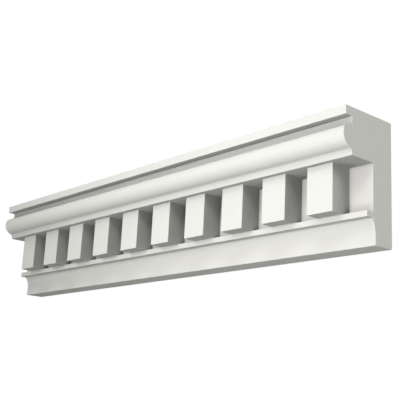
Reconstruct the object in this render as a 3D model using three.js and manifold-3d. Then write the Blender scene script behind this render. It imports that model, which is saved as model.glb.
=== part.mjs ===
// A length of dentil cornice moulding, made in one piece and cut square at both ends.
// Millimetres, +Z up. The wall face lies in the plane Y = 0 and the moulding stands out towards -Y.
// The origin is the centre of the wall face.
import * as THREE from "three";
import * as BufferGeometryUtils from "three/addons/utils/BufferGeometryUtils.js";
import Module from "manifold-3d";

// Overall sizes. The dentil band takes the height that the base and the crown leave.
const length = 1006;
const height = 200;

// Base: a plain face, a cavetto over it, and a fillet whose flat top is the ledge under the dentils.
const baseFaceProjection = 40.3;
const baseFaceHeight = 20;
const cavettoRadius = 31;
const cavettoHeight = 20.4;
const ledgeOverhang = 20;
const ledgeFilletHeight = 9.6;
const ledgeTread = 15.1;

// Dentils: square blocks that stand on the ledge and reach up to the soffit of the crown.
const dentilWidth = 50.5;
const dentilGap = 45.8;
const dentilDepth = 40.4;
const smallestEndMargin = 20;

// Crown: a fillet, a small cove, a large round bead with a sloped top, a sunk quirk, and the top fillet.
// The bead's curve stops at an arris, and its top slopes up from there to the foot of the quirk face.
const soffitOverhang = 9.7;
const crownFilletHeight = 3.9;
const coveRadius = 7.5;
const beadRadius = 20.6;
const beadOverhang = 19.7;
const beadArrisRise = 11.5;
const beadSlopeRise = 8.3;
const topFilletSetback = 5.2;
const topFilletHeight = 14.3;
const quirkDepth = 14.5;
const quirkHeight = 9.9;

// The root is how far a dentil runs on inside the body that carries it. Curves are cut into facets.
const dentilRoot = 3;
const facetAngle = THREE.MathUtils.degToRad(3);

// How far each plane of the section stands out from the wall face.
const ledgeProjection = baseFaceProjection + ledgeOverhang;
const bandProjection = ledgeProjection - ledgeTread;
const dentilProjection = bandProjection + dentilDepth;
const crownFilletProjection = dentilProjection + soffitOverhang;
const beadProjection = crownFilletProjection + beadOverhang;
const topFilletProjection = beadProjection - topFilletSetback;
const quirkProjection = topFilletProjection - quirkDepth;

// Centres of the crown's two arcs, as offsets from the line where the crown fillet ends.
// The cove touches the fillet face below it and the bead beside it, so the two radii place the bead.
const coveCentreProjection = crownFilletProjection + coveRadius;
const beadCentreProjection = beadProjection - beadRadius;
const beadCentreRise = Math.sqrt(
  (beadRadius + coveRadius) ** 2 - (coveCentreProjection - beadCentreProjection) ** 2
);

// Levels of the section, from the underside up.
const cavettoTop = baseFaceHeight + cavettoHeight;
const ledgeLevel = cavettoTop + ledgeFilletHeight;
const beadHeight = beadCentreRise + beadArrisRise + beadSlopeRise;
const crownHeight = crownFilletHeight + beadHeight + quirkHeight + topFilletHeight;
const soffitLevel = height - crownHeight;
const crownFilletTop = soffitLevel + crownFilletHeight;
const beadCentreLevel = crownFilletTop + beadCentreRise;
const quirkTop = height - topFilletHeight;
const quirkFoot = quirkTop - quirkHeight;

// Points of an arc in the section plane, from one angle to another about its centre.
function arc(projection, level, radius, startAngle, endAngle) {
  const facets = Math.ceil(Math.abs(endAngle - startAngle) / facetAngle);
  const clockwise = endAngle < startAngle;
  const curve = new THREE.EllipseCurve(
    projection, level, radius, radius, startAngle, endAngle, clockwise
  );
  return curve.getPoints(facets);
}

// The cavetto rises from the base face and leans out until it meets the underside of the fillet.
function cavettoArc() {
  const centreProjection = baseFaceProjection + cavettoRadius;
  const turn = Math.asin(cavettoHeight / cavettoRadius);
  return arc(centreProjection, baseFaceHeight, cavettoRadius, Math.PI, Math.PI - turn);
}

// The cove turns out of the crown fillet and runs smoothly into the bead.
function coveArc() {
  const turn = Math.atan2(beadCentreRise, coveCentreProjection - beadCentreProjection);
  return arc(coveCentreProjection, crownFilletTop, coveRadius, Math.PI, Math.PI - turn);
}

// The bead swells out from the cove and turns back in as far as its arris.
function beadArc() {
  const startAngle = Math.atan2(-beadCentreRise, coveCentreProjection - beadCentreProjection);
  const endAngle = Math.asin(beadArrisRise / beadRadius);
  return arc(beadCentreProjection, beadCentreLevel, beadRadius, startAngle, endAngle);
}

// The section without its dentils: X is the projection from the wall and Y is the level.
function sectionShape() {
  const corner = (projection, level) => new THREE.Vector2(projection, level);
  return new THREE.Shape([
    corner(0, 0),
    corner(baseFaceProjection, 0),
    ...cavettoArc(),
    corner(ledgeProjection, cavettoTop),
    corner(ledgeProjection, ledgeLevel),
    corner(bandProjection, ledgeLevel),
    corner(bandProjection, soffitLevel),
    corner(crownFilletProjection, soffitLevel),
    ...coveArc(),
    ...beadArc().slice(1),
    corner(quirkProjection, quirkFoot),
    corner(quirkProjection, quirkTop),
    corner(topFilletProjection, quirkTop),
    corner(topFilletProjection, height),
    corner(0, height),
  ]);
}

// The plain moulding: the section run from the right end to the left end.
function runGeometry() {
  const geometry = new THREE.ExtrudeGeometry(sectionShape(), {
    depth: length,
    steps: 1,
    bevelEnabled: false,
  });
  const place = new THREE.Matrix4().makeBasis(
    new THREE.Vector3(0, -1, 0),
    new THREE.Vector3(0, 0, 1),
    new THREE.Vector3(-1, 0, 0)
  );
  place.setPosition(length / 2, 0, -height / 2);
  return geometry.applyMatrix4(place);
}

// The middles of as many dentils as the length holds, spread evenly about its centre.
function dentilCentres() {
  const pitch = dentilWidth + dentilGap;
  const count = Math.floor((length - 2 * smallestEndMargin + dentilGap) / pitch);
  return Array.from({ length: count }, (_, index) => (index - (count - 1) / 2) * pitch);
}

// One dentil, rooted in the band behind it and in the crown above it.
function dentilGeometry(centre) {
  const depth = dentilDepth + dentilRoot;
  const rise = soffitLevel - ledgeLevel + dentilRoot;
  const geometry = new THREE.BoxGeometry(dentilWidth, depth, rise);
  return geometry.translate(
    centre,
    depth / 2 - dentilProjection,
    ledgeLevel + rise / 2 - height / 2
  );
}

const wasm = await Module();
wasm.setup();

// A closed three.js geometry as a solid that can be joined to another.
function solidOf(geometry) {
  geometry.deleteAttribute("normal");
  geometry.deleteAttribute("uv");
  const merged = BufferGeometryUtils.mergeVertices(geometry);
  return new wasm.Manifold(new wasm.Mesh({
    numProp: 3,
    vertProperties: new Float32Array(merged.attributes.position.array),
    triVerts: new Uint32Array(merged.index.array),
  }));
}

// The joined solid as a three.js geometry again.
function geometryOf(solid) {
  const mesh = solid.getMesh();
  const geometry = new THREE.BufferGeometry();
  geometry.setAttribute("position", new THREE.BufferAttribute(mesh.vertProperties, mesh.numProp));
  geometry.setIndex(new THREE.BufferAttribute(mesh.triVerts, 1));
  geometry.computeVertexNormals();
  return geometry;
}

// The whole moulding is one cast piece, so its dentils are joined to the run.
function corniceGeometry() {
  const run = solidOf(runGeometry());
  const dentils = dentilCentres().map((centre) => solidOf(dentilGeometry(centre)));
  return geometryOf(dentils.reduce((body, dentil) => body.add(dentil), run));
}

const warmWhitePrimer = new THREE.MeshStandardMaterial({
  color: 0xf2efe9,
  roughness: 0.8,
  metalness: 0,
});

const cornice = new THREE.Mesh(corniceGeometry(), warmWhitePrimer);
cornice.name = "cornice";

const moulding = new THREE.Group();
moulding.add(cornice);

export default moulding;
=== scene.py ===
"""Looks of one length of dentil cornice moulding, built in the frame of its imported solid.

The moulding is one cast piece. Its section is a base face and cavetto, a ledge fillet, a recessed
band with a row of dentils, and a crown of fillet, cove, bead, quirk and top fillet. The mesh here has
the same planes as the solid, with the eased arrises, sprayed primer and sawn ends of the real piece.
All lengths are metres: X runs along the moulding, -Y is out from the wall and Z is up.
"""

import logging
import math
from dataclasses import dataclass, field
from enum import Enum

import bpy
from mathutils import Matrix, Vector


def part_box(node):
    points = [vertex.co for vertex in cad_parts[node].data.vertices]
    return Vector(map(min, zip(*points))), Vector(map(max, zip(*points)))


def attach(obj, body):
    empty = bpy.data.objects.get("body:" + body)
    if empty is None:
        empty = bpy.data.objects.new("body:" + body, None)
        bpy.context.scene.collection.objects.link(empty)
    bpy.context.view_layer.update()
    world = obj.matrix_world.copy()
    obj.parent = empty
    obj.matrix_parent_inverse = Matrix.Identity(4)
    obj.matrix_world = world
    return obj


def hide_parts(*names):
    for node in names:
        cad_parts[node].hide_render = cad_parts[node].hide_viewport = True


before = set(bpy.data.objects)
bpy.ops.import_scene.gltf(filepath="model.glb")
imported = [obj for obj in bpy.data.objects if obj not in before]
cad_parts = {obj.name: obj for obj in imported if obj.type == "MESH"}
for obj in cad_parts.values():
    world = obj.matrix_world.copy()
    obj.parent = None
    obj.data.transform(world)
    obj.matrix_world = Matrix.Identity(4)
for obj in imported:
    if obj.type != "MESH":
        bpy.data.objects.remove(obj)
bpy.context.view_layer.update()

LOG = logging.getLogger("cornice")
CORNICE_NODE = "cornice"
ROOT_BODY = "root"
MM = 0.001
# Places closer together than this are the same place.
SNAP = 0.01 * MM
# A Mix node has sockets for every kind of value. These are its factor and the ones for colours.
MIX_SHARE, MIX_FIRST, MIX_SECOND, MIX_RESULT = 0, 6, 7, 2

Colour = tuple[float, float, float]
Range = tuple[float, float]


class Stretch(Enum):
    """What a stretch of the band holds, between two stations along the length."""

    GAP = "gap"
    DENTIL = "dentil"


class Surface(Enum):
    """The finishes of the moulding's surfaces, by the index of their material slot."""

    PRIMED = 0
    SAWN = 1
    BACK = 2


@dataclass(frozen=True)
class RailPoint:
    """One point of the section: how far it stands out from the wall, and its level."""

    projection: float
    level: float


@dataclass(frozen=True)
class Section:
    """The sizes of every member of the section, as the solid has them.

    Projections are measured out from the wall face and levels up from the underside. A facet of an
    arc is longer than an eased arris is wide, so that the easing doesn't fold over at the bead.
    """

    height: float
    base_face_projection: float = 40.3 * MM
    base_face_height: float = 20.0 * MM
    cavetto_radius: float = 31.0 * MM
    cavetto_height: float = 20.4 * MM
    ledge_overhang: float = 20.0 * MM
    ledge_fillet_height: float = 9.6 * MM
    ledge_tread: float = 15.1 * MM
    dentil_depth: float = 40.4 * MM
    soffit_overhang: float = 9.7 * MM
    crown_fillet_height: float = 3.9 * MM
    cove_radius: float = 7.5 * MM
    bead_radius: float = 20.6 * MM
    bead_overhang: float = 19.7 * MM
    bead_arris_rise: float = 11.5 * MM
    bead_slope_rise: float = 8.3 * MM
    top_fillet_setback: float = 5.2 * MM
    top_fillet_height: float = 14.3 * MM
    quirk_depth: float = 14.5 * MM
    quirk_height: float = 9.9 * MM
    facet_length: float = 1.2 * MM
    fewest_facets: int = 10

    @property
    def ledge_projection(self) -> float:
        """Front of the ledge fillet."""
        return self.base_face_projection + self.ledge_overhang

    @property
    def band_projection(self) -> float:
        """Face of the recessed band between the dentils."""
        return self.ledge_projection - self.ledge_tread

    @property
    def dentil_projection(self) -> float:
        """Front of the dentils."""
        return self.band_projection + self.dentil_depth

    @property
    def crown_fillet_projection(self) -> float:
        """Front of the fillet that starts the crown."""
        return self.dentil_projection + self.soffit_overhang

    @property
    def bead_projection(self) -> float:
        """Foremost line of the bead, and of the whole moulding."""
        return self.crown_fillet_projection + self.bead_overhang

    @property
    def top_fillet_projection(self) -> float:
        """Front of the top fillet."""
        return self.bead_projection - self.top_fillet_setback

    @property
    def quirk_projection(self) -> float:
        """Face of the sunk quirk between the bead and the top fillet."""
        return self.top_fillet_projection - self.quirk_depth

    @property
    def cove_centre_projection(self) -> float:
        """Centre of the small cove, out in front of the crown fillet."""
        return self.crown_fillet_projection + self.cove_radius

    @property
    def bead_centre_projection(self) -> float:
        """Centre of the bead."""
        return self.bead_projection - self.bead_radius

    @property
    def bead_centre_rise(self) -> float:
        """Height of the bead's centre over the crown fillet, where cove and bead touch smoothly."""
        reach = self.bead_radius + self.cove_radius
        return math.sqrt(reach**2 - (self.cove_centre_projection - self.bead_centre_projection) ** 2)

    @property
    def cavetto_top(self) -> float:
        """Level of the underside of the ledge fillet."""
        return self.base_face_height + self.cavetto_height

    @property
    def ledge_level(self) -> float:
        """Level of the ledge that the dentils stand on."""
        return self.cavetto_top + self.ledge_fillet_height

    @property
    def quirk_top(self) -> float:
        """Level of the underside of the top fillet."""
        return self.height - self.top_fillet_height

    @property
    def quirk_foot(self) -> float:
        """Level where the bead's sloped top meets the quirk face."""
        return self.quirk_top - self.quirk_height

    @property
    def bead_centre_level(self) -> float:
        """Level of the bead's centre."""
        return self.quirk_foot - self.bead_slope_rise - self.bead_arris_rise

    @property
    def crown_fillet_top(self) -> float:
        """Level where the crown fillet turns into the cove."""
        return self.bead_centre_level - self.bead_centre_rise

    @property
    def soffit_level(self) -> float:
        """Level of the soffit that the dentils reach up to."""
        return self.crown_fillet_top - self.crown_fillet_height

    def arc(self, centre: RailPoint, radius: float, start: float, end: float) -> list[RailPoint]:
        """Lay points along an arc of the section.

        Args:
            centre: Centre of the arc.
            radius: Radius of the arc.
            start: Angle of the first point, from straight out, turning upwards.
            end: Angle of the last point.

        Returns:
            The points, with both ends.
        """
        facets = max(self.fewest_facets, math.ceil(abs(end - start) * radius / self.facet_length))
        angles = [start + (end - start) * step / facets for step in range(facets + 1)]
        return [
            RailPoint(centre.projection + radius * math.cos(a), centre.level + radius * math.sin(a))
            for a in angles
        ]

    def cavetto(self) -> list[RailPoint]:
        """Lay the hollow curve that leans out from the base face.

        Returns:
            The points from the base face up to the underside of the ledge fillet.
        """
        centre = RailPoint(self.base_face_projection + self.cavetto_radius, self.base_face_height)
        turn = math.asin(self.cavetto_height / self.cavetto_radius)
        return self.arc(centre, self.cavetto_radius, math.pi, math.pi - turn)

    def cove(self) -> list[RailPoint]:
        """Lay the small hollow that turns out of the crown fillet.

        Returns:
            The points from the crown fillet to the line where the bead takes over.
        """
        centre = RailPoint(self.cove_centre_projection, self.crown_fillet_top)
        run = self.cove_centre_projection - self.bead_centre_projection
        turn = math.atan2(self.bead_centre_rise, run)
        return self.arc(centre, self.cove_radius, math.pi, math.pi - turn)

    def bead(self) -> list[RailPoint]:
        """Lay the large round of the crown.

        Returns:
            The points from the cove round to the arris where the bead's sloped top starts.
        """
        centre = RailPoint(self.bead_centre_projection, self.bead_centre_level)
        run = self.cove_centre_projection - self.bead_centre_projection
        start = math.atan2(-self.bead_centre_rise, run)
        end = math.asin(self.bead_arris_rise / self.bead_radius)
        return self.arc(centre, self.bead_radius, start, end)

    def below_band(self) -> list[RailPoint]:
        """Lay the rails from the back of the underside up to the front edge of the ledge.

        Returns:
            The points, in order.
        """
        return [
            RailPoint(0.0, 0.0),
            RailPoint(self.base_face_projection, 0.0),
            *self.cavetto(),
            RailPoint(self.ledge_projection, self.cavetto_top),
            RailPoint(self.ledge_projection, self.ledge_level),
        ]

    def in_band(self, stretch: Stretch) -> list[RailPoint]:
        """Lay the rails between the ledge and the soffit.

        Args:
            stretch: Whether the stretch holds a dentil or the open band.

        Returns:
            The points that only this kind of stretch has.
        """
        if stretch is Stretch.DENTIL:
            return [RailPoint(self.dentil_projection, self.ledge_level)]
        return [
            RailPoint(self.band_projection, self.ledge_level),
            RailPoint(self.band_projection, self.soffit_level),
        ]

    def above_band(self) -> list[RailPoint]:
        """Lay the rails from the soffit line over the dentil fronts up to the back of the top face.

        Returns:
            The points, in order.
        """
        return [
            RailPoint(self.dentil_projection, self.soffit_level),
            RailPoint(self.crown_fillet_projection, self.soffit_level),
            *self.cove(),
            *self.bead()[1:],
            RailPoint(self.quirk_projection, self.quirk_foot),
            RailPoint(self.quirk_projection, self.quirk_top),
            RailPoint(self.top_fillet_projection, self.quirk_top),
            RailPoint(self.top_fillet_projection, self.height),
            RailPoint(0.0, self.height),
        ]

    def outline(self, stretch: Stretch) -> list[RailPoint]:
        """Lay the whole section of one stretch.

        Args:
            stretch: Whether the stretch holds a dentil or the open band.

        Returns:
            The points from the back of the underside round to the back of the top face.
        """
        return [*self.below_band(), *self.in_band(stretch), *self.above_band()]


@dataclass(frozen=True)
class DentilRow:
    """The row of square dentils, spread evenly about the middle of the length."""

    length: float
    width: float = 50.5 * MM
    gap: float = 45.8 * MM
    smallest_end_margin: float = 20.0 * MM

    @property
    def count(self) -> int:
        """How many dentils the length holds."""
        room = self.length - 2 * self.smallest_end_margin + self.gap
        return math.floor(room / (self.width + self.gap))

    def stations(self) -> list[float]:
        """List the places along X where the section changes, with both ends.

        Returns:
            The places from the left end to the right end, gaps and dentils taking turns.
        """
        pitch = self.width + self.gap
        places = [-self.length / 2]
        for index in range(self.count):
            centre = (index - (self.count - 1) / 2) * pitch
            places += [centre - self.width / 2, centre + self.width / 2]
        return [*places, self.length / 2]

    @staticmethod
    def stretch(index: int) -> Stretch:
        """Tell what lies between one station and the next."""
        return Stretch.DENTIL if index % 2 else Stretch.GAP


class MaterialBuilder:
    """Lays out the shader nodes of one procedural material."""

    def __init__(self, name: str, roughness: float, specular: float) -> None:
        """Start a material with one Principled shader.

        Args:
            name: Name of the material.
            roughness: Roughness, where nothing varies it.
            specular: Specular level, the same all over.
        """
        self.material = bpy.data.materials.new(name)
        self.material.use_nodes = True
        self.tree = self.material.node_tree
        self.shader = self.tree.nodes["Principled BSDF"]
        self.shader.inputs["Roughness"].default_value = roughness
        self.shader.inputs["Specular IOR Level"].default_value = specular
        self.place = self.tree.nodes.new("ShaderNodeTexCoord").outputs["Object"]

    def link(self, start: bpy.types.NodeSocket, end: bpy.types.NodeSocket) -> None:
        """Join two sockets."""
        self.tree.links.new(start, end)

    def noise(
        self,
        size: float,
        detail: float = 3.0,
        stretch: tuple[float, float, float] = (1.0, 1.0, 1.0),
    ) -> bpy.types.NodeSocket:
        """Add a cloud of noise in the object's own space.

        Args:
            size: Width of one cloud, in metres.
            detail: How many finer layers the noise has.
            stretch: How many times longer than wide a cloud is along X, Y and Z.

        Returns:
            The socket with a value from 0 to 1.
        """
        mapping = self.tree.nodes.new("ShaderNodeMapping")
        mapping.inputs["Scale"].default_value = [1.0 / share for share in stretch]
        self.link(self.place, mapping.inputs["Vector"])
        cloud = self.tree.nodes.new("ShaderNodeTexNoise")
        cloud.inputs["Scale"].default_value = 1.0 / size
        cloud.inputs["Detail"].default_value = detail
        self.link(mapping.outputs["Vector"], cloud.inputs["Vector"])
        return cloud.outputs["Fac"]

    def cells(self, size: float) -> bpy.types.NodeSocket:
        """Add closed round cells, such as those of cut foam.

        Args:
            size: Width of one cell, in metres.

        Returns:
            The socket with the distance from the middle of each cell.
        """
        cell = self.tree.nodes.new("ShaderNodeTexVoronoi")
        cell.inputs["Scale"].default_value = 1.0 / size
        self.link(self.place, cell.inputs["Vector"])
        return cell.outputs["Distance"]

    def ramp(
        self, source: bpy.types.NodeSocket, low: float, high: float, span: Range = (0.3, 0.7)
    ) -> bpy.types.NodeSocket:
        """Turn a value into another range.

        Args:
            source: Socket of the value.
            low: Result at the low end.
            high: Result at the high end.
            span: The values that give low and high.

        Returns:
            The socket with the new value.
        """
        node = self.tree.nodes.new("ShaderNodeMapRange")
        node.inputs["From Min"].default_value = span[0]
        node.inputs["From Max"].default_value = span[1]
        node.inputs["To Min"].default_value = low
        node.inputs["To Max"].default_value = high
        self.link(source, node.inputs["Value"])
        return node.outputs["Result"]

    def blend(
        self, share: bpy.types.NodeSocket, first: Colour | bpy.types.NodeSocket, second: Colour
    ) -> bpy.types.NodeSocket:
        """Blend from one colour to another.

        Args:
            share: Socket that goes from 0, the first colour, to 1, the second.
            first: First colour, or the socket that gives it.
            second: Second colour.

        Returns:
            The socket with the blended colour.
        """
        node = self.tree.nodes.new("ShaderNodeMix")
        node.data_type = "RGBA"
        start = node.inputs[MIX_FIRST]
        if isinstance(first, bpy.types.NodeSocket):
            self.link(first, start)
        else:
            start.default_value = (*first, 1.0)
        node.inputs[MIX_SECOND].default_value = (*second, 1.0)
        self.link(share, node.inputs[MIX_SHARE])
        return node.outputs[MIX_RESULT]

    def bump(
        self, height: bpy.types.NodeSocket, depth: float, over: bpy.types.NodeSocket | None = None
    ) -> bpy.types.NodeSocket:
        """Raise the surface a little by a value.

        Args:
            height: Socket of the height, from 0 to 1.
            depth: Height in metres of a value of 1.
            over: Normal of a coarser bump that this one lies over.

        Returns:
            The socket of the bumped normal.
        """
        node = self.tree.nodes.new("ShaderNodeBump")
        node.inputs["Distance"].default_value = depth
        self.link(height, node.inputs["Height"])
        if over is not None:
            self.link(over, node.inputs["Normal"])
        return node.outputs["Normal"]

    def finish(
        self,
        colour: bpy.types.NodeSocket,
        roughness: bpy.types.NodeSocket,
        normal: bpy.types.NodeSocket,
    ) -> bpy.types.Material:
        """Join the last sockets to the shader.

        Args:
            colour: Socket of the base colour.
            roughness: Socket of the roughness.
            normal: Socket of the normal.

        Returns:
            The finished material.
        """
        self.link(colour, self.shader.inputs["Base Color"])
        self.link(roughness, self.shader.inputs["Roughness"])
        self.link(normal, self.shader.inputs["Normal"])
        return self.material


@dataclass(frozen=True)
class PrimerFinish:
    """Warm-white primer, sprayed in the mould: smooth and matte, with a fine tooth."""

    name: str = "warm_white_primer"
    tone: Colour = (0.800, 0.786, 0.752)
    thin_tone: Colour = (0.780, 0.768, 0.738)
    fleck_tone: Colour = (0.750, 0.737, 0.705)
    specular: float = 0.28
    matte: float = 0.80
    satin: float = 0.66
    cloud_size: float = 90 * MM
    run_size: float = 14 * MM
    run_detail: float = 2.0
    run_stretch: tuple[float, float, float] = (9.0, 1.0, 1.0)
    peel_size: float = 5.5 * MM
    peel_detail: float = 1.5
    peel_depth: float = 0.10 * MM
    tooth_size: float = 0.9 * MM
    tooth_depth: float = 0.06 * MM
    fleck_size: float = 2.2 * MM
    fleck_detail: float = 4.0
    fleck_share: float = 0.55
    fleck_span: Range = (0.62, 0.74)

    def material(self) -> bpy.types.Material:
        """Build the primer.

        Returns:
            The material.
        """
        builder = MaterialBuilder(self.name, self.matte, self.specular)
        coat = builder.ramp(builder.noise(self.cloud_size), 0.0, 1.0)
        specks = builder.noise(self.fleck_size, self.fleck_detail)
        flecks = builder.ramp(specks, 0.0, self.fleck_share, self.fleck_span)
        runs = builder.noise(self.run_size, self.run_detail, self.run_stretch)
        colour = builder.blend(flecks, builder.blend(coat, self.tone, self.thin_tone), self.fleck_tone)
        roughness = builder.ramp(runs, self.satin, self.matte)
        peel = builder.bump(builder.noise(self.peel_size, self.peel_detail), self.peel_depth)
        tooth = builder.bump(builder.noise(self.tooth_size), self.tooth_depth, peel)
        return builder.finish(colour, roughness, tooth)


@dataclass(frozen=True)
class SawnFinish:
    """The square-cut end: close foam cells under a thin coat, crossed by faint upright saw lines."""

    name: str = "sawn_end"
    tone: Colour = (0.795, 0.783, 0.750)
    cell_tone: Colour = (0.700, 0.688, 0.655)
    specular: float = 0.20
    matte: float = 0.88
    dull: float = 0.78
    cell_size: float = 1.1 * MM
    cell_depth: float = 0.12 * MM
    cell_share: float = 0.5
    cell_span: Range = (0.45, 0.75)
    saw_size: float = 1.6 * MM
    saw_detail: float = 2.0
    saw_stretch: tuple[float, float, float] = (1.0, 1.0, 60.0)
    saw_depth: float = 0.10 * MM

    def material(self) -> bpy.types.Material:
        """Build the sawn end.

        Returns:
            The material.
        """
        builder = MaterialBuilder(self.name, self.matte, self.specular)
        cells = builder.cells(self.cell_size)
        pitting = builder.ramp(cells, 0.0, self.cell_share, self.cell_span)
        saw = builder.noise(self.saw_size, self.saw_detail, self.saw_stretch)
        colour = builder.blend(pitting, self.tone, self.cell_tone)
        roughness = builder.ramp(saw, self.dull, self.matte)
        lines = builder.bump(saw, self.saw_depth)
        pits = builder.bump(cells, self.cell_depth, lines)
        return builder.finish(colour, roughness, pits)


@dataclass(frozen=True)
class BackFinish:
    """The wall face: the open top of the mould, levelled off and left without primer."""

    name: str = "levelled_back"
    tone: Colour = (0.760, 0.742, 0.690)
    stain_tone: Colour = (0.715, 0.695, 0.640)
    specular: float = 0.18
    matte: float = 0.92
    dull: float = 0.80
    cloud_size: float = 45 * MM
    cloud_detail: float = 5.0
    drag_size: float = 2.4 * MM
    drag_detail: float = 2.0
    drag_stretch: tuple[float, float, float] = (55.0, 1.0, 1.0)
    drag_depth: float = 0.18 * MM
    pore_size: float = 1.8 * MM
    pore_depth: float = 0.14 * MM

    def material(self) -> bpy.types.Material:
        """Build the back.

        Returns:
            The material.
        """
        builder = MaterialBuilder(self.name, self.matte, self.specular)
        stain = builder.ramp(builder.noise(self.cloud_size, self.cloud_detail), 0.0, 1.0)
        drag = builder.noise(self.drag_size, self.drag_detail, self.drag_stretch)
        colour = builder.blend(stain, self.tone, self.stain_tone)
        roughness = builder.ramp(drag, self.dull, self.matte)
        lines = builder.bump(drag, self.drag_depth)
        pores = builder.bump(builder.cells(self.pore_size), self.pore_depth, lines)
        return builder.finish(colour, roughness, pores)


@dataclass
class CorniceLength:
    """The moulding: one cast piece, drawn as rails along X that change at each side of a dentil."""

    section: Section
    row: DentilRow
    name: str = "cornice_face"
    arris_ease: float = 0.8 * MM
    arris_steps: int = 3
    end_ease_share: float = 0.35
    arris_angle: float = math.radians(30)
    primer: PrimerFinish = field(default_factory=PrimerFinish)
    sawn: SawnFinish = field(default_factory=SawnFinish)
    back: BackFinish = field(default_factory=BackFinish)

    def __post_init__(self) -> None:
        """Start with no points and no faces."""
        self.points: dict[tuple[int, RailPoint], int] = {}
        self.faces: list[tuple[list[int], Surface]] = []

    def point(self, station: int, rail: RailPoint) -> int:
        """Give the number of the vertex where a rail crosses a station."""
        return self.points.setdefault((station, rail), len(self.points))

    def add_strips(self, station: int, rails: list[RailPoint], surface: Surface) -> None:
        """Lay quads along a row of rails, from one station to the next.

        Args:
            station: Number of the station on the left.
            rails: The rails, in the order of the outline.
            surface: Finish of the strips.
        """
        for low, high in zip(rails, rails[1:]):
            corners = [
                self.point(station, low),
                self.point(station + 1, low),
                self.point(station + 1, high),
                self.point(station, high),
            ]
            self.faces.append((corners, surface))

    def add_cheek(self, station: int, is_left: bool) -> None:
        """Close one side of a dentil at a station.

        Args:
            station: Number of the station.
            is_left: Whether it is the left side of its dentil.
        """
        section = self.section
        ledge_edge = RailPoint(section.ledge_projection, section.ledge_level)
        top_front = RailPoint(section.dentil_projection, section.soffit_level)
        low_front = section.in_band(Stretch.DENTIL)[0]
        low_back, top_back = section.in_band(Stretch.GAP)
        ring = [low_back, ledge_edge, low_front, top_front, top_back]
        corners = [self.point(station, rail) for rail in ring]
        self.faces.append((corners if is_left else corners[::-1], Surface.PRIMED))

    def add_end(self, station: int, is_left: bool) -> None:
        """Close one end of the moulding with the whole section.

        Args:
            station: Number of the first or the last station.
            is_left: Whether it is the left end.
        """
        corners = [self.point(station, rail) for rail in self.section.outline(Stretch.GAP)]
        self.faces.append((corners if is_left else corners[::-1], Surface.SAWN))

    def lay_faces(self) -> None:
        """Lay every face of the moulding."""
        section = self.section
        last = len(self.row.stations()) - 1
        for station in range(last):
            stretch = self.row.stretch(station)
            self.add_strips(station, section.outline(stretch), Surface.PRIMED)
            back = [RailPoint(0.0, section.height), RailPoint(0.0, 0.0)]
            self.add_strips(station, back, Surface.BACK)
            if stretch is Stretch.DENTIL:
                self.add_cheek(station, is_left=True)
                self.add_cheek(station + 1, is_left=False)
        self.add_end(0, is_left=True)
        self.add_end(last, is_left=False)

    def vertices(self) -> list[Vector]:
        """Place every vertex in the row frame, whose origin is the centre of the wall face.

        Returns:
            The places, in the order of their numbers.
        """
        stations = self.row.stations()
        middle = self.section.height / 2
        return [
            Vector((stations[station], -rail.projection, rail.level - middle))
            for station, rail in self.points
        ]

    def is_paint_filled(self, corners: list[Vector]) -> bool:
        """Tell whether an edge is the inner corner where the cavetto meets the fillet's underside.

        Args:
            corners: The two ends of the edge.

        Returns:
            Whether both ends lie on that corner, which the primer leaves soft.
        """
        corner = self.section.cavetto()[-1]
        level = corner.level - self.section.height / 2
        return all(math.hypot(at.y + corner.projection, at.z - level) < SNAP for at in corners)

    def ease_arrises(self, piece: bpy.types.Object) -> None:
        """Round every arris and inner corner a little, and the sawn ends less.

        Args:
            piece: The moulding, with sharp edges.
        """
        mesh = piece.data
        end = self.row.length / 2
        weights = mesh.attributes.new("bevel_weight_edge", "FLOAT", "EDGE")
        normals = {edge.key: [] for edge in mesh.edges}
        for face in mesh.polygons:
            for key in face.edge_keys:
                normals[key].append(face.normal.copy())
        for edge in mesh.edges:
            first, second = normals[edge.key]
            corners = [mesh.vertices[index].co for index in edge.vertices]
            if first.angle(second) < self.arris_angle or self.is_paint_filled(corners):
                continue
            at_end = all(abs(abs(at.x) - end) < SNAP for at in corners)
            weights.data[edge.index].value = self.end_ease_share if at_end else 1.0
        bevel = piece.modifiers.new("eased_arrises", "BEVEL")
        bevel.limit_method = "WEIGHT"
        bevel.width = self.arris_ease
        bevel.segments = self.arris_steps
        bevel.use_clamp_overlap = False
        bevel.harden_normals = True
        bevel.miter_outer = "MITER_SHARP"

    def build(self) -> bpy.types.Object:
        """Build and dress the moulding.

        Returns:
            The finished piece, standing for the solid.
        """
        self.lay_faces()
        mesh = bpy.data.meshes.new(self.name)
        mesh.from_pydata(self.vertices(), [], [corners for corners, _ in self.faces])
        for finish in (self.primer, self.sawn, self.back):
            mesh.materials.append(finish.material())
        for polygon, (_, surface) in zip(mesh.polygons, self.faces):
            polygon.material_index = surface.value
            polygon.use_smooth = True
        mesh.validate()
        piece = bpy.data.objects.new(self.name, mesh)
        bpy.context.scene.collection.objects.link(piece)
        self.ease_arrises(piece)
        apply_modifiers(piece)
        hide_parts(CORNICE_NODE)
        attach(piece, ROOT_BODY)
        return piece


def apply_modifiers(piece: bpy.types.Object) -> None:
    """Replace a piece's mesh by the mesh that its modifiers give.

    Args:
        piece: The piece.
    """
    bpy.context.view_layer.update()
    graph = bpy.context.evaluated_depsgraph_get()
    made = bpy.data.meshes.new_from_object(piece.evaluated_get(graph), depsgraph=graph)
    piece.modifiers.clear()
    piece.data = made


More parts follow.
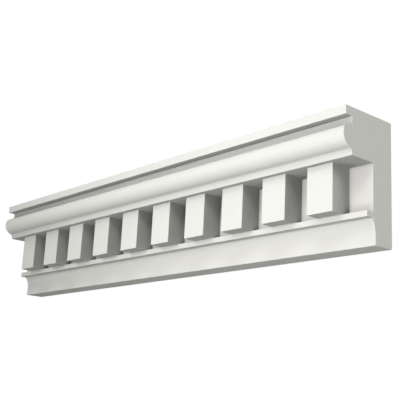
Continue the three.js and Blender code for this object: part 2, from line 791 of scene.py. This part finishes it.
@dataclass
class PhotoCamera:
    """The camera at the photograph's viewpoint, from its measured perspective.

    The offset of the eye is from the right end of the wall face, halfway up.
    """

    right_end: float
    eye_offset: tuple[float, float, float] = (0.71864, -1.0026, -0.3494)
    yaw: float = math.radians(49.241)
    pitch: float = math.radians(14.553)
    roll: float = math.radians(2.928)
    focal_pixels: float = 819.4
    frame_pixels: float = 400.0
    sensor_width: float = 36.0
    nearest_seen: float = 0.01

    def axes(self) -> Matrix:
        """Work out which way the camera faces.

        Returns:
            The rotation, with the camera's right, up and backward directions as columns.
        """
        ahead = Vector((
            -math.sin(self.yaw) * math.cos(self.pitch),
            math.cos(self.yaw) * math.cos(self.pitch),
            math.sin(self.pitch),
        ))
        level_right = Vector((math.cos(self.yaw), math.sin(self.yaw), 0.0))
        level_up = level_right.cross(ahead)
        right = level_right * math.cos(self.roll) + level_up * math.sin(self.roll)
        up = level_up * math.cos(self.roll) - level_right * math.sin(self.roll)
        return Matrix((right, up, -ahead)).transposed()

    def build(self) -> bpy.types.Object:
        """Add the camera and make it the scene's.

        Returns:
            The camera.
        """
        data = bpy.data.cameras.new("photo_camera")
        data.sensor_width = self.sensor_width
        data.lens = self.focal_pixels * self.sensor_width / self.frame_pixels
        data.clip_start = self.nearest_seen
        camera = bpy.data.objects.new("photo_camera", data)
        bpy.context.scene.collection.objects.link(camera)
        eye = Vector((self.right_end, 0.0, 0.0)) + Vector(self.eye_offset)
        camera.matrix_world = Matrix.Translation(eye) @ self.axes().to_4x4()
        bpy.context.scene.camera = camera
        return camera


@dataclass(frozen=True)
class Panel:
    """One soft panel light, placed by its direction from the point on the X axis that it faces.

    Bearing, rise and spread are in degrees. Bearing turns from straight in front of the moulding
    towards its right end, and rise turns upwards. Facing is the X of the point faced.
    """

    name: str
    bearing: float
    rise: float
    watts: float
    facing: float = 0.5
    distance: float = 1.4
    side: float = 0.6
    spread: float = 180.0
    colour: Colour = (0.9679, 1.0, 0.9667)

    @property
    def target(self) -> Vector:
        """Point that the panel faces."""
        return Vector((self.facing, 0.0, 0.0))

    @property
    def place(self) -> Vector:
        """Place of the panel."""
        turn, lift = math.radians(self.bearing), math.radians(self.rise)
        out = Vector((math.sin(turn) * math.cos(lift), -math.cos(turn) * math.cos(lift), math.sin(lift)))
        return self.target + out * self.distance

    def build(self) -> bpy.types.Object:
        """Hang the panel.

        Returns:
            The light.
        """
        data = bpy.data.lights.new(self.name, "AREA")
        data.shape = "SQUARE"
        data.size = self.side
        data.energy = self.watts
        data.color = self.colour
        data.spread = math.radians(self.spread)
        light = bpy.data.objects.new(self.name, data)
        bpy.context.scene.collection.objects.link(light)
        light.location = self.place
        aim = self.target - self.place
        light.rotation_euler = aim.to_track_quat("-Z", "Y").to_euler()
        return light


@dataclass(frozen=True)
class GriddedPanel(Panel):
    """A panel with a grid in front, which keeps its light nearly straight."""

    distance: float = 2.5
    spread: float = 26.0
    colour: Colour = (1.0, 0.9855, 0.9925)


@dataclass(frozen=True)
class NearPanel(Panel):
    """A small panel close to the right end, whose light falls off along the length."""

    distance: float = 1.0
    side: float = 0.35


STUDIO_PANELS = (
    GriddedPanel("key_left", bearing=0.0, rise=8.0, watts=0.444, facing=-0.2),
    GriddedPanel("key_middle", bearing=0.0, rise=0.0, watts=0.441, facing=0.2),
    GriddedPanel("key_high", bearing=0.0, rise=26.0, watts=0.152, facing=0.2),
    GriddedPanel("key_right", bearing=0.0, rise=0.0, watts=0.673, facing=0.6),
    NearPanel("near_high", bearing=15.0, rise=40.0, watts=2.320),
    NearPanel("near_side", bearing=45.0, rise=-20.0, watts=0.753),
    NearPanel("near_end", bearing=75.0, rise=-20.0, watts=0.749),
    Panel("left_high", bearing=-60.0, rise=35.0, watts=3.307),
    Panel("left_low", bearing=-30.0, rise=-40.0, watts=2.948),
    Panel("right_low", bearing=30.0, rise=-40.0, watts=4.120),
    Panel("left_side", bearing=-70.0, rise=-8.0, watts=12.860, facing=0.0, distance=2.2, side=1.0),
    Panel("end_front", bearing=115.0, rise=20.0, watts=7.605, distance=2.0, side=0.9),
    Panel("end_back", bearing=140.0, rise=20.0, watts=11.724, distance=2.0, side=0.9),
    Panel("under_back", bearing=180.0, rise=-45.0, watts=3.654, facing=0.0, distance=1.8, side=0.8),
    Panel("far_end", bearing=-118.0, rise=15.0, watts=5.0, facing=-0.5, distance=2.0, side=0.9),
    Panel("over_back", bearing=180.0, rise=60.0, watts=20.0, facing=0.0, distance=2.2, side=1.0),
)


@dataclass
class Studio:
    """A plain pale floor, a white surround and soft panel lights."""

    floor_level: float = -1.85
    floor_side: float = 60.0
    floor_tone: Colour = (0.80, 0.80, 0.79)
    floor_matte: float = 0.9
    floor_glow: float = 0.62
    floor_glow_tone: Colour = (1.0, 1.0, 0.99)
    surround_tone: Colour = (1.0, 1.0, 1.0)
    surround_light: float = 0.0531
    surround_tint: Colour = (0.9679, 1.0, 0.9667)
    panels: tuple[Panel, ...] = STUDIO_PANELS

    def floor_material(self) -> bpy.types.Material:
        """Build the pale floor's material, which glows a little but isn't picked as a lamp.

        Returns:
            The material.
        """
        material = bpy.data.materials.new("pale_floor")
        material.use_nodes = True
        shader = material.node_tree.nodes["Principled BSDF"]
        shader.inputs["Base Color"].default_value = (*self.floor_tone, 1.0)
        shader.inputs["Roughness"].default_value = self.floor_matte
        shader.inputs["Emission Color"].default_value = (*self.floor_glow_tone, 1.0)
        shader.inputs["Emission Strength"].default_value = self.floor_glow
        material.cycles.emission_sampling = "NONE"
        return material

    def build_floor(self) -> bpy.types.Object:
        """Lay the floor, which neither lights nor shades the moulding.

        Returns:
            The floor.
        """
        half = self.floor_side / 2
        corners = [(-half, -half), (half, -half), (half, half), (-half, half)]
        mesh = bpy.data.meshes.new("floor")
        mesh.from_pydata([(x, y, self.floor_level) for x, y in corners], [], [(0, 1, 2, 3)])
        mesh.materials.append(self.floor_material())
        floor = bpy.data.objects.new("floor", mesh)
        bpy.context.scene.collection.objects.link(floor)
        floor.visible_diffuse = False
        floor.visible_glossy = False
        floor.visible_shadow = False
        return floor

    def build_surround(self) -> None:
        """Make the surround white to the camera and a soft dim light to the moulding."""
        world = bpy.data.worlds.new("white_surround")
        world.use_nodes = True
        tree = world.node_tree
        seen = tree.nodes["Background"]
        seen.inputs["Color"].default_value = (*self.surround_tone, 1.0)
        glow = tree.nodes.new("ShaderNodeBackground")
        glow.inputs["Color"].default_value = (*self.surround_tint, 1.0)
        glow.inputs["Strength"].default_value = self.surround_light
        rays = tree.nodes.new("ShaderNodeLightPath")
        choice = tree.nodes.new("ShaderNodeMixShader")
        tree.links.new(rays.outputs["Is Camera Ray"], choice.inputs[0])
        tree.links.new(glow.outputs[0], choice.inputs[1])
        tree.links.new(seen.outputs[0], choice.inputs[2])
        tree.links.new(choice.outputs[0], tree.nodes["World Output"].inputs["Surface"])
        bpy.context.scene.world = world

    def build(self) -> None:
        """Build the floor, the surround and the lights.

        The photograph's light reaches each face straight from the lamps and the surround, with none
        thrown from face to face, so bounced diffuse light is left out here too. The lamps are picked
        evenly, because the light tree passes over part of the light of the gridded panels.
        """
        self.build_floor()
        self.build_surround()
        for panel in self.panels:
            panel.build()
        scene = bpy.context.scene
        scene.view_settings.view_transform = "Standard"
        scene.cycles.diffuse_bounces = 0
        scene.cycles.use_light_tree = False


def main() -> None:
    """Build the camera, the moulding and the studio, and report each."""
    logging.basicConfig(level=logging.INFO, format="%(name)s: %(message)s")
    low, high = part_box(CORNICE_NODE)
    camera = PhotoCamera(right_end=high.x).build()
    LOG.info("camera at %s", tuple(round(value, 3) for value in camera.location))
    section = Section(height=high.z - low.z)
    row = DentilRow(length=high.x - low.x)
    moulding = CorniceLength(section, row).build()
    LOG.info("%s: %d dentils, %d faces", moulding.name, row.count, len(moulding.data.polygons))
    Studio().build()
    LOG.info("studio is lit")


if __name__ == "__main__":
    main()
